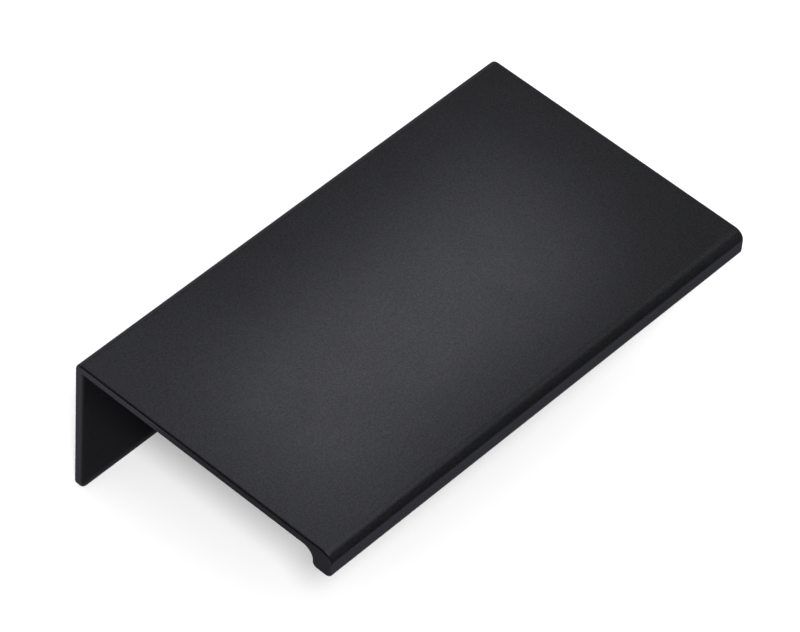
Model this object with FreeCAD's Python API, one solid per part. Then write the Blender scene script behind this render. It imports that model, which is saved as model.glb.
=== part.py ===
import FreeCAD, Part
import math
import os

# Tab pull for a drawer or door front: one extruded aluminium section, cut to length.
# +X runs along the length, the finger lip points to -Y and +Z is up. The origin lies midway
# between the screw holes, on the face of the leg that seats on the back of the front panel.

# Overall sizes in millimetres
LENGTH = 70.0
DEPTH = 40.0  # back of the leg to the nose of the lip
LEG_HEIGHT = 21.4  # top of the plate to the foot of the leg

# Walls
PLATE_THICKNESS = 1.35
LEG_THICKNESS = 1.2

# Bend between the plate and the leg
BEND_OUTER_RADIUS = 1.1
BEND_INNER_RADIUS = 0.3

# Finger lip
LIP_HEIGHT = 3.75  # top of the plate to the underside of the lip
LIP_WIDTH = 2.9
NOSE_TOP_RADIUS = 1.4
NOSE_BOTTOM_RADIUS = 0.8
HEEL_RADIUS = 0.75
LIP_ROOT_RADIUS = 1.5  # hollow that blends the lip into the underside of the plate

# Cut edges: the lower corners of the leg, and the softening of both ends and of the foot
FOOT_CORNER_RADIUS = 1.0
EDGE_SOFTENING = 0.3

# Screw holes through the leg, countersunk from behind
HOLE_SPACING = 32.0
HOLE_DIAMETER = 4.2
HOLE_BELOW_PLATE = 10.0  # underside of the plate to the hole centres
COUNTERSINK_DIAMETER = 5.8
COUNTERSINK_ANGLE = 90.0

# Levels and faces that the sizes above set
LEG_BACK = LEG_THICKNESS
NOSE_FRONT = LEG_BACK - DEPTH
LIP_BACK = NOSE_FRONT + LIP_WIDTH
PLATE_UNDERSIDE = HOLE_BELOW_PLATE
PLATE_TOP = PLATE_UNDERSIDE + PLATE_THICKNESS
LIP_UNDERSIDE = PLATE_TOP - LIP_HEIGHT
FOOT = PLATE_TOP - LEG_HEIGHT

# Two neighbouring roundings take up to this share of the straight run between them
RUN_SHARE = 0.98
# A softened edge takes up to this share of its wall, or of a rounding that it follows
SOFTENING_SHARE = 0.48
# Cutting tools reach this far past the faces that they cut
OVERCUT = 1.0
# Faces closer to a plane than this lie on it
ON_PLANE = 0.001


def rounded_outline(corners):
    """Closed wire in the plane X = 0 through (y, z, radius) corners, sharp where the radius is 0."""
    count = len(corners)
    points = [FreeCAD.Vector(0, y, z) for y, z, radius in corners]
    runs = [points[(i + 1) % count] - points[i] for i in range(count)]
    half_turns = [runs[i - 1].getAngle(runs[i]) / 2 for i in range(count)]

    # How far each rounding reaches along its two runs, less where a run is too short
    wanted = [corner[2] * math.tan(half_turn) for corner, half_turn in zip(corners, half_turns)]
    needed = [wanted[i] + wanted[(i + 1) % count] for i in range(count)]
    fit = [min(1.0, RUN_SHARE * run.Length / need) if need else 1.0 for run, need in zip(runs, needed)]
    reach = [wanted[i] * min(fit[i - 1], fit[i]) for i in range(count)]

    edges = []
    for i in range(count):
        into = FreeCAD.Vector(runs[i - 1]).normalize()
        out = FreeCAD.Vector(runs[i]).normalize()
        end = points[i] + out * reach[i]
        if reach[i]:
            start = points[i] - into * reach[i]
            radius = reach[i] / math.tan(half_turns[i])
            inset = radius / math.cos(half_turns[i]) - radius
            middle = points[i] + (out - into).normalize() * inset
            edges.append(Part.Arc(start, middle, end).toShape())
        following = (i + 1) % count
        edges.append(Part.LineSegment(end, points[following] - out * reach[following]).toShape())
    return Part.Wire(edges)


def extrusion():
    """The section, leg, plate and finger lip in one outline, drawn out over the full length."""
    outline = rounded_outline([
        (LEG_BACK, FOOT, 0),
        (LEG_BACK, PLATE_TOP, BEND_OUTER_RADIUS),
        (NOSE_FRONT, PLATE_TOP, NOSE_TOP_RADIUS),
        (NOSE_FRONT, LIP_UNDERSIDE, NOSE_BOTTOM_RADIUS),
        (LIP_BACK, LIP_UNDERSIDE, HEEL_RADIUS),
        (LIP_BACK, PLATE_UNDERSIDE, LIP_ROOT_RADIUS),
        (0, PLATE_UNDERSIDE, BEND_INNER_RADIUS),
        (0, FOOT, 0),
    ])
    bar = Part.Face(outline).extrude(FreeCAD.Vector(LENGTH, 0, 0))
    bar.translate(FreeCAD.Vector(-LENGTH / 2, 0, 0))
    return bar


def round_foot_corners(bar):
    """Rounds the two lower corners of the leg, seen from the front."""
    at_foot = [edge for edge in bar.Edges if abs(edge.BoundBox.ZMax - FOOT) < ON_PLANE]
    across = [edge for edge in at_foot if edge.BoundBox.XLength < ON_PLANE]
    return bar.makeFillet(FOOT_CORNER_RADIUS, across)


def soften_cut_edges(bar):
    """Rounds over the outlines of the cut ends, the foot and the foot's corners in one chain."""
    limits = (PLATE_THICKNESS, LEG_THICKNESS, BEND_OUTER_RADIUS, NOSE_TOP_RADIUS,
              NOSE_BOTTOM_RADIUS, HEEL_RADIUS, FOOT_CORNER_RADIUS)
    radius = min(EDGE_SOFTENING, SOFTENING_SHARE * min(limits))

    # Faces of the extrusion are centred on X = 0, so what lies off centre was cut
    cut_faces = [face for face in bar.Faces
                 if abs(face.CenterOfMass.x) > ON_PLANE or abs(face.CenterOfMass.z - FOOT) < ON_PLANE]

    def borders(edge):
        return sum(any(edge.isSame(other) for other in face.Edges) for face in cut_faces)

    return bar.makeFillet(radius, [edge for edge in bar.Edges if borders(edge) == 1])


def screw_hole(x):
    """Cutting tool for one hole: a clearance bore with a countersink on the back of the leg."""
    backwards = FreeCAD.Vector(0, 1, 0)
    bore_radius = HOLE_DIAMETER / 2
    bore = Part.makeCylinder(bore_radius, LEG_THICKNESS + 2 * OVERCUT,
                             FreeCAD.Vector(x, -OVERCUT, 0), backwards)
    slope = math.tan(math.radians(COUNTERSINK_ANGLE / 2))
    depth = (COUNTERSINK_DIAMETER / 2 - bore_radius) / slope
    cone = Part.makeCone(bore_radius, bore_radius + (depth + OVERCUT) * slope, depth + OVERCUT,
                         FreeCAD.Vector(x, LEG_BACK - depth, 0), backwards)
    return bore.fuse(cone)


def tab_pull():
    """The finished pull."""
    body = soften_cut_edges(round_foot_corners(extrusion()))
    return body.cut([screw_hole(side * HOLE_SPACING / 2) for side in (-1, 1)])


os.makedirs("parts", exist_ok=True)
tab_pull().exportStep("parts/tab_pull.step")
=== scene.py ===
import math

import bmesh
import bpy
from mathutils import Matrix, Vector


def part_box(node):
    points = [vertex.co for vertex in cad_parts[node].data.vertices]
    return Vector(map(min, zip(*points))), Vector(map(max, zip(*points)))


# Looks of the tab pull: its black coat, and a pale floor, studio light and camera to see it by.
# Azimuths and elevations are in degrees, azimuth 0 in front of the finger lip.

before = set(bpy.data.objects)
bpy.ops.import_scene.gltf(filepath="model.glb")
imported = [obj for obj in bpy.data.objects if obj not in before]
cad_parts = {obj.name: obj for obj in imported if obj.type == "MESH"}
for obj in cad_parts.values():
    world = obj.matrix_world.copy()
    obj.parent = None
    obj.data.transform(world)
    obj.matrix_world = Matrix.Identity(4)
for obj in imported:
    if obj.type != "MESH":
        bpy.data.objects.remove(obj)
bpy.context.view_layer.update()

MM = 0.001  # metres in a millimetre
UP = Vector((0, 0, 1))
BLACK = (0.0, 0.0, 0.0, 1.0)
WHITE = (1.0, 1.0, 1.0, 1.0)

# The pull's own box, which places the camera, the floor, the cards and the lights
PULL_LOW, PULL_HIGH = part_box("tab_pull")
PLATE_CENTRE = Vector(((PULL_LOW.x + PULL_HIGH.x) / 2, (PULL_LOW.y + PULL_HIGH.y) / 2, PULL_HIGH.z))
FRONT_CORNER = Vector((PULL_LOW.x, PULL_LOW.y, PULL_HIGH.z))  # left front corner of the plate's top
FOOT_LEVEL = PULL_LOW.z

# Camera: where it looks from, and how far it stands from the middle of the picture
CAMERA_AZIMUTH = -50.34
CAMERA_ELEVATION = 47.76
CAMERA_ROLL = -4.53
CAMERA_DISTANCE = 576.9 * MM
CAMERA_LENS = 226.48  # millimetres
CAMERA_SENSOR = 36.0  # millimetres
# The point in the middle of the picture, measured from the middle of the plate
AIM_RIGHT = -1.79 * MM
AIM_DOWN = 2.28 * MM

# Black coat: the light that it returns head on and the share that it keeps at a slant
COAT_COLOUR = (0.041, 0.0415, 0.0465)
COAT_SLANT = (0.42, 0.42, 0.42, 1.0)
COAT_ROUGHNESS = 0.285
# Fine grain in the coat's colour and relief
GRAIN_SIZE = 0.2 * MM
GRAIN_DEPTH = 0.003 * MM
GRAIN_CONTRAST = 0.52
GRAIN_HARSHNESS = 0.55
# Faint unevenness of the coat's sheen, wider than the grain
MOTTLE_SIZE = 5.0 * MM
MOTTLE_CONTRAST = 0.04
# Both are noise with this many finer layers, which swings about this middle
NOISE_LAYERS = 2.0
NOISE_MIDDLE = 0.5

# Softboxes that face down and that the plate mirrors: their middles from the plate's middle and
# their sides along X and Y, in millimetres, and their radiance
STRIP_BOX = {"middle": (30.6, 25.6, 50.0), "sides": (56.0, 24.0), "radiance": 1.1}
SIDE_BOX = {"middle": (-15.0, -4.3, 50.0), "sides": (53.0, 148.0), "radiance": 0.27}
WATTS_PER_RADIANCE = 4.0  # of an area lamp, for each square metre

# Key light for the floor and its shadow, from just beside the camera
KEY_AZIMUTH = -43.0
KEY_ELEVATION = 52.5
KEY_WIDTH = 11.0  # degrees across, seen from the pull
KEY_STRENGTH = 1.95

# Dim studio room, with two glows above the pull and a soft wall beside the camera: where their
# middles lie, how near to them they begin and are full, as cosines, and their radiance
ROOM_RADIANCE = 0.27
TOP_GLOW = {"azimuth": 106.0, "elevation": 57.0, "edge": (0.766, 0.927), "radiance": 0.15}
NOSE_GLOW = {"azimuth": 79.0, "elevation": 58.0, "edge": (0.88, 0.98), "radiance": 0.22}
SOFT_WALL = {"azimuth": -42.0, "elevation": 54.0, "edge": (0.64, 0.95), "radiance": 0.9}
# Pale walls all round, and the elevations between which they fade out, as sines
WALL_RADIANCE = 0.85
WALL_FADE = (0.34, 0.66)

# Floor: half its side, its paint, and a glow for the eye and for reflections that makes it white
FLOOR_HALF = 3.0  # metres
FLOOR_COLOUR = (0.76, 0.76, 0.76, 1.0)
FLOOR_ROUGHNESS = 0.9
FLOOR_GLOW = 0.24

# Grey cards that lie on the floor and are seen in reflections alone. They paint darker reflections on
# the coat, and the inner card stands in for the shadow under the plate.
# Their two opposite corners, in millimetres from the plate's left front corner, and their shade
CARDS = {
    "front_card": {"low": (-265.0, -361.2), "high": (435.0, -23.2), "shade": 0.14},
    "inner_card": {"low": (-3.0, 12.8), "high": (71.0, 38.3), "shade": 0.4},
    "end_card": {"low": (-45.0, -23.2), "high": (-1.0, 38.8), "shade": 0.5},
}
CARD_CLEARANCE = 0.05 * MM
# Strips of the same kind that stand upright close to an edge, which mirrors them as a dark line:
# painted reflections along the nose and the left end
STRIPS = {
    "nose_strip": {"low": (-7.0, -5.0, -2.05), "high": (83.0, -5.0, 5.65), "shade": 0.45},
    "end_strip": {"low": (-3.0, -3.2, -1.55), "high": (-3.0, 46.8, 3.05), "shade": 0.1},
}


class Field:
    """A socket of a node tree, or the tree alone. Python operators on a socket add Math nodes."""

    def __init__(self, tree, socket=None):
        self.tree = tree
        self.socket = socket

    def node(self, kind, settings, sockets, output=0):
        """Adds a node, makes its settings, then gives its sockets values or links."""
        made = self.tree.nodes.new(kind)
        for name, value in settings.items():
            setattr(made, name, value)
        for name, value in sockets.items():
            if isinstance(value, Field):
                self.tree.links.new(value.socket, made.inputs[name])
            else:
                made.inputs[name].default_value = value
        return Field(self.tree, made.outputs[output] if made.outputs else None)

    def math(self, operation, first, second):
        return self.node("ShaderNodeMath", {"operation": operation}, {0: first, 1: second})

    def __add__(self, other):
        return self.math("ADD", self, other)

    def __sub__(self, other):
        return self.math("SUBTRACT", self, other)

    def __rsub__(self, other):
        return self.math("SUBTRACT", other, self)

    def __mul__(self, other):
        return self.math("MULTIPLY", self, other)

    __radd__ = __add__
    __rmul__ = __mul__

    def or_larger(self, other):
        return self.math("MAXIMUM", self, other)

    def smooth_step(self, low, high):
        """0 below low, 1 above high and a smooth rise between."""
        return self.node("ShaderNodeMapRange", {"interpolation_type": "SMOOTHSTEP"},
                         {"Value": self, "From Min": low, "From Max": high})


def cleared_tree(owner):
    """The node tree of a material or world, with no nodes in it."""
    owner.use_nodes = True
    owner.node_tree.nodes.clear()
    return Field(owner.node_tree)


def direction(azimuth, elevation):
    """Unit vector from the pull towards what stands at this azimuth and elevation."""
    turn = math.radians(azimuth)
    rise = math.radians(elevation)
    return Vector((math.sin(turn) * math.cos(rise), -math.cos(turn) * math.cos(rise), math.sin(rise)))


def black_coat():
    """Satin black finish with a fine even grain."""
    material = bpy.data.materials.new("black_coat_finish")
    tree = cleared_tree(material)
    place = tree.node("ShaderNodeTexCoord", {}, {}, "Object")

    def noise(size, **more):
        sockets = {"Vector": place, "Scale": 1 / size, "Detail": NOISE_LAYERS, **more}
        return tree.node("ShaderNodeTexNoise", {"noise_dimensions": "3D"}, sockets)

    def swing(pattern, contrast):
        return (pattern - NOISE_MIDDLE) * (2 * contrast)

    grain = noise(GRAIN_SIZE, Roughness=GRAIN_HARSHNESS)
    mottle = noise(MOTTLE_SIZE)
    colour = tree.node("ShaderNodeVectorMath", {"operation": "SCALE"},
                       {0: COAT_COLOUR, "Scale": 1 + swing(grain, GRAIN_CONTRAST)})
    finish = tree.node("ShaderNodeBsdfPrincipled", {}, {
        "Base Color": colour,
        "Metallic": 1.0,
        "Roughness": COAT_ROUGHNESS + swing(mottle, MOTTLE_CONTRAST),
        "Specular Tint": COAT_SLANT,
        "Normal": tree.node("ShaderNodeBump", {}, {"Distance": GRAIN_DEPTH, "Height": grain}),
    })
    tree.node("ShaderNodeOutputMaterial", {}, {"Surface": finish})
    return material


def level_corners(low, high, level):
    """Corners of a level rectangle between two opposite corners, in order."""
    return [(low[0], low[1], level), (high[0], low[1], level),
            (high[0], high[1], level), (low[0], high[1], level)]


def upright_corners(low, high):
    """Corners of an upright rectangle between two opposite corners, in order."""
    return [low, (high.x, high.y, low.z), high, (low.x, low.y, high.z)]


def flat_sheet(name, corners, material):
    """Flat sheet with these corners, linked into the scene."""
    shape = bmesh.new()
    shape.faces.new([shape.verts.new(corner) for corner in corners])
    mesh = bpy.data.meshes.new(name)
    shape.to_mesh(mesh)
    shape.free()
    mesh.materials.append(material)
    sheet = bpy.data.objects.new(name, mesh)
    bpy.context.scene.collection.objects.link(sheet)
    return sheet


def pale_floor():
    """Plain floor at the foot of the leg, white to the eye and in reflections, with its shadow."""
    material = bpy.data.materials.new("pale_floor")
    tree = cleared_tree(material)
    rays = [tree.node("ShaderNodeLightPath", {}, {}, kind)
            for kind in ("Is Camera Ray", "Is Glossy Ray", "Is Transmission Ray")]
    seen = rays[0].or_larger(rays[1]).or_larger(rays[2])
    glow = tree.node("ShaderNodeMix", {"data_type": "RGBA"},
                     {"Factor": seen, "A": BLACK, "B": WHITE}, "Result")
    finish = tree.node("ShaderNodeBsdfPrincipled", {}, {
        "Base Color": FLOOR_COLOUR,
        "Roughness": FLOOR_ROUGHNESS,
        "Emission Color": glow,
        "Emission Strength": FLOOR_GLOW,
    })
    tree.node("ShaderNodeOutputMaterial", {}, {"Surface": finish})
    corners = level_corners((-FLOOR_HALF, -FLOOR_HALF), (FLOOR_HALF, FLOOR_HALF), FOOT_LEVEL)
    flat_sheet("floor", corners, material)


def painted_reflection_card(name, corners, shade):
    """Card that the pull mirrors and that shows nowhere else: a painted reflection, darker than the
    floor or room it hides.
    """
    material = bpy.data.materials.new(name)
    tree = cleared_tree(material)
    # Painted reflection: the grey that the coat mirrors in place of the white floor or the room
    reflection_shade = tree.node("ShaderNodeBsdfDiffuse", {}, {"Color": (shade, shade, shade, 1.0)})
    tree.node("ShaderNodeOutputMaterial", {}, {"Surface": reflection_shade})
    card = flat_sheet(name, corners, material)
    card.visible_camera = False
    card.visible_diffuse = False
    card.visible_shadow = False


def from_front_corner(place):
    """Point at this place in millimetres from the plate's left front corner."""
    return FRONT_CORNER + Vector(place).to_3d() * MM


def cards_and_strips():
    """Lays the cards on the floor and stands the strips beside their edges, to paint darker
    reflections on the coat.
    """
    for name, card in CARDS.items():
        low = from_front_corner(card["low"])
        high = from_front_corner(card["high"])
        painted_reflection_card(name, level_corners(low, high, FOOT_LEVEL + CARD_CLEARANCE), card["shade"])
    for name, strip in STRIPS.items():
        low = from_front_corner(strip["low"])
        high = from_front_corner(strip["high"])
        painted_reflection_card(name, upright_corners(low, high), strip["shade"])


def studio_room():
    """World: a dim room with its glows, its soft wall and pale walls low down."""
    world = bpy.data.worlds.new("studio_room")
    tree = cleared_tree(world)
    towards = tree.node("ShaderNodeTexCoord", {}, {}, "Generated")

    def along(way):
        return tree.node("ShaderNodeVectorMath", {"operation": "DOT_PRODUCT"},
                         {0: towards, 1: way}, "Value")

    def patch(azimuth, elevation, edge, radiance):
        return along(direction(azimuth, elevation)).smooth_step(*edge) * radiance

    glows = patch(**TOP_GLOW) + patch(**NOSE_GLOW) + patch(**SOFT_WALL)
    walls = (1 - along(UP).smooth_step(*WALL_FADE)) * WALL_RADIANCE
    light = tree.node("ShaderNodeBackground", {}, {
        "Color": WHITE,
        "Strength": ROOM_RADIANCE + glows + walls,
    })
    tree.node("ShaderNodeOutputWorld", {}, {"Surface": light})
    bpy.context.scene.world = world


def softbox(name, middle, sides, radiance):
    """Area lamp that faces down, placed from the middle of the plate."""
    length, width = (side * MM for side in sides)
    lamp = bpy.data.lights.new(name, "AREA")
    lamp.shape = "RECTANGLE"
    lamp.size = length
    lamp.size_y = width
    lamp.energy = radiance * WATTS_PER_RADIANCE * length * width
    box = bpy.data.objects.new(name, lamp)
    box.location = PLATE_CENTRE + Vector(middle) * MM
    box.visible_camera = False
    bpy.context.scene.collection.objects.link(box)


def key_light():
    """Sun lamp that lights the floor and casts the pull's soft shadow, and leaves no glint."""
    lamp = bpy.data.lights.new("key_light", "SUN")
    lamp.angle = math.radians(KEY_WIDTH)
    lamp.energy = KEY_STRENGTH
    sun = bpy.data.objects.new("key_light", lamp)
    sun.rotation_mode = "QUATERNION"
    sun.rotation_quaternion = direction(KEY_AZIMUTH, KEY_ELEVATION).to_track_quat("Z", "Y")
    sun.visible_glossy = False
    bpy.context.scene.collection.objects.link(sun)


def camera():
    """Camera at the photograph's viewing angle."""
    back = direction(CAMERA_AZIMUTH, CAMERA_ELEVATION)
    right = UP.cross(back).normalized()
    level = Matrix((right, back.cross(right), back)).transposed()
    turned = level @ Matrix.Rotation(math.radians(-CAMERA_ROLL), 3, "Z")
    aim = PLATE_CENTRE + turned @ Vector((AIM_RIGHT, -AIM_DOWN, 0))

    lens = bpy.data.cameras.new("camera")
    lens.lens = CAMERA_LENS
    lens.sensor_width = CAMERA_SENSOR
    eye = bpy.data.objects.new("camera", lens)
    eye.matrix_world = Matrix.Translation(aim + back * CAMERA_DISTANCE) @ turned.to_4x4()
    bpy.context.scene.collection.objects.link(eye)
    bpy.context.scene.camera = eye


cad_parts["tab_pull"].material_slots[0].material = black_coat()
pale_floor()
cards_and_strips()
studio_room()
softbox("strip_box", **STRIP_BOX)
softbox("side_box", **SIDE_BOX)
key_light()
camera()
bpy.context.scene.view_settings.view_transform = "Standard"
